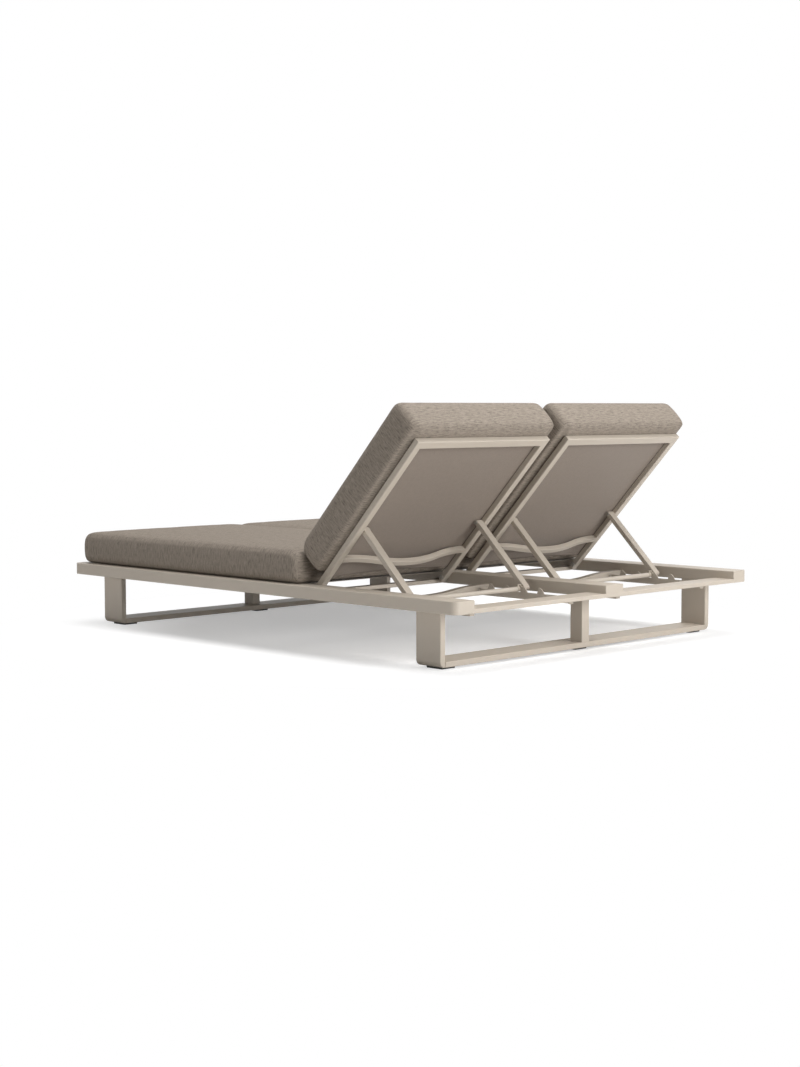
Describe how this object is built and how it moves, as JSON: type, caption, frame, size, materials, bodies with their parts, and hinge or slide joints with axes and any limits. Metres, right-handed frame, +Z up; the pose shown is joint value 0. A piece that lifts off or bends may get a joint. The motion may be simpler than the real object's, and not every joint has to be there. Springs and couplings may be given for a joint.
{
  "type": "double chaise lounger",
  "caption": "Double outdoor chaise lounger: low metal frame on sled legs, seat cushions, and backrests that recline in steps on folding props.",
  "frame": {"origin": "on the ground, under the middle of the frame", "axes": "+Z up, +Y towards the head end, +X to the sitter's left"},
  "size_m": [1.556, 2, 0.8397],
  "materials": {
    "frame": "fine matte powder coat, warm light taupe",
    "rod": "satin coated tube",
    "hardware": "satin stainless",
    "plastic": "matte",
    "glide": "matte black",
    "sling": "close woven mesh",
    "seat_cloth": "melange outdoor cloth",
    "back_cloth": "melange outdoor cloth"
  },
  "bodies": {
    "platform": {"crossbar_foot_left": "frame", "crossbar_foot_right": "frame", "crossbar_head_left": "frame", "crossbar_head_right": "frame", "crossbar_seat_left": "frame", "crossbar_seat_right": "frame", "glides": "glide", "pivot_bolts": "hardware", "pivot_nuts": "hardware", "pivot_washers": "plastic", "rack_left_inner": "frame", "rack_left_outer": "frame", "rack_right_inner": "frame", "rack_right_outer": "frame", "rack_screws": "hardware", "rail_centre": "frame", "rail_left": "frame", "rail_plugs": "frame", "rail_right": "frame", "seat_cushion_left": "seat_cloth", "seat_cushion_right": "seat_cloth", "seat_sling_left": "sling", "seat_sling_right": "sling", "sled_foot_bar": "frame", "sled_foot_post_centre": "frame", "sled_foot_post_left": "frame", "sled_foot_post_right": "frame", "sled_head_bar": "frame", "sled_head_post_centre": "frame", "sled_head_post_left": "frame", "sled_head_post_right": "frame", "stretcher_rack_left": "frame", "stretcher_rack_right": "frame", "stretcher_seat_1": "frame", "stretcher_seat_2": "frame"},
    "backrest_left": {"back_left_bow": "frame", "back_left_prop_bolts": "hardware", "back_left_side_inner": "frame", "back_left_side_outer": "frame", "back_left_sling": "sling", "back_left_top": "frame", "back_left_tube_plugs": "plastic"},
    "prop_left": {"prop_left_leg_inner": "frame", "prop_left_leg_outer": "frame", "prop_left_rod": "rod", "prop_left_sleeves": "plastic"},
    "back_cushion_left": {"back_cushion_left": "back_cloth"},
    "backrest_right": {"back_right_bow": "frame", "back_right_prop_bolts": "hardware", "back_right_side_inner": "frame", "back_right_side_outer": "frame", "back_right_sling": "sling", "back_right_top": "frame", "back_right_tube_plugs": "plastic"},
    "prop_right": {"prop_right_leg_inner": "frame", "prop_right_leg_outer": "frame", "prop_right_rod": "rod", "prop_right_sleeves": "plastic"},
    "back_cushion_right": {"back_cushion_right": "back_cloth"}
  },
  "joints": [
    {"name": "backrest_left_hinge", "type": "hinge", "parent": "platform", "child": "backrest_left", "pos_m": [0.369, 0.2725, 0.2132], "axis": [1, 0, 0], "range_deg": [-46.8, 20.4]},
    {"name": "prop_left_hinge", "type": "hinge", "parent": "backrest_left", "child": "prop_left", "pos_m": [0.369, 0.46636, 0.41964], "axis": [1, 0, 0], "range_deg": [-39.85, 91.41]},
    {"name": "back_cushion_left_slide", "type": "slide", "parent": "backrest_left", "child": "back_cushion_left", "axis": [0, 0.6845, 0.729], "range_m": [-0.0937, 0.0409]},
    {"name": "backrest_right_hinge", "type": "hinge", "parent": "platform", "child": "backrest_right", "pos_m": [-0.369, 0.2725, 0.2132], "axis": [1, 0, 0], "range_deg": [-46.8, 20.4]},
    {"name": "prop_right_hinge", "type": "hinge", "parent": "backrest_right", "child": "prop_right", "pos_m": [-0.369, 0.46636, 0.41964], "axis": [1, 0, 0], "range_deg": [-39.85, 91.41]},
    {"name": "back_cushion_right_slide", "type": "slide", "parent": "backrest_right", "child": "back_cushion_right", "axis": [0, 0.6845, 0.729], "range_m": [-0.0937, 0.0409]}
  ],
  "couplings": [
    {"joint": "prop_left_hinge", "follows": "backrest_left_hinge", "ratio": -1.953},
    {"joint": "back_cushion_left_slide", "follows": "backrest_left_hinge", "m_per_rad": 0.11459},
    {"joint": "prop_right_hinge", "follows": "backrest_right_hinge", "ratio": -1.953},
    {"joint": "back_cushion_right_slide", "follows": "backrest_right_hinge", "m_per_rad": 0.11459}
  ]
}
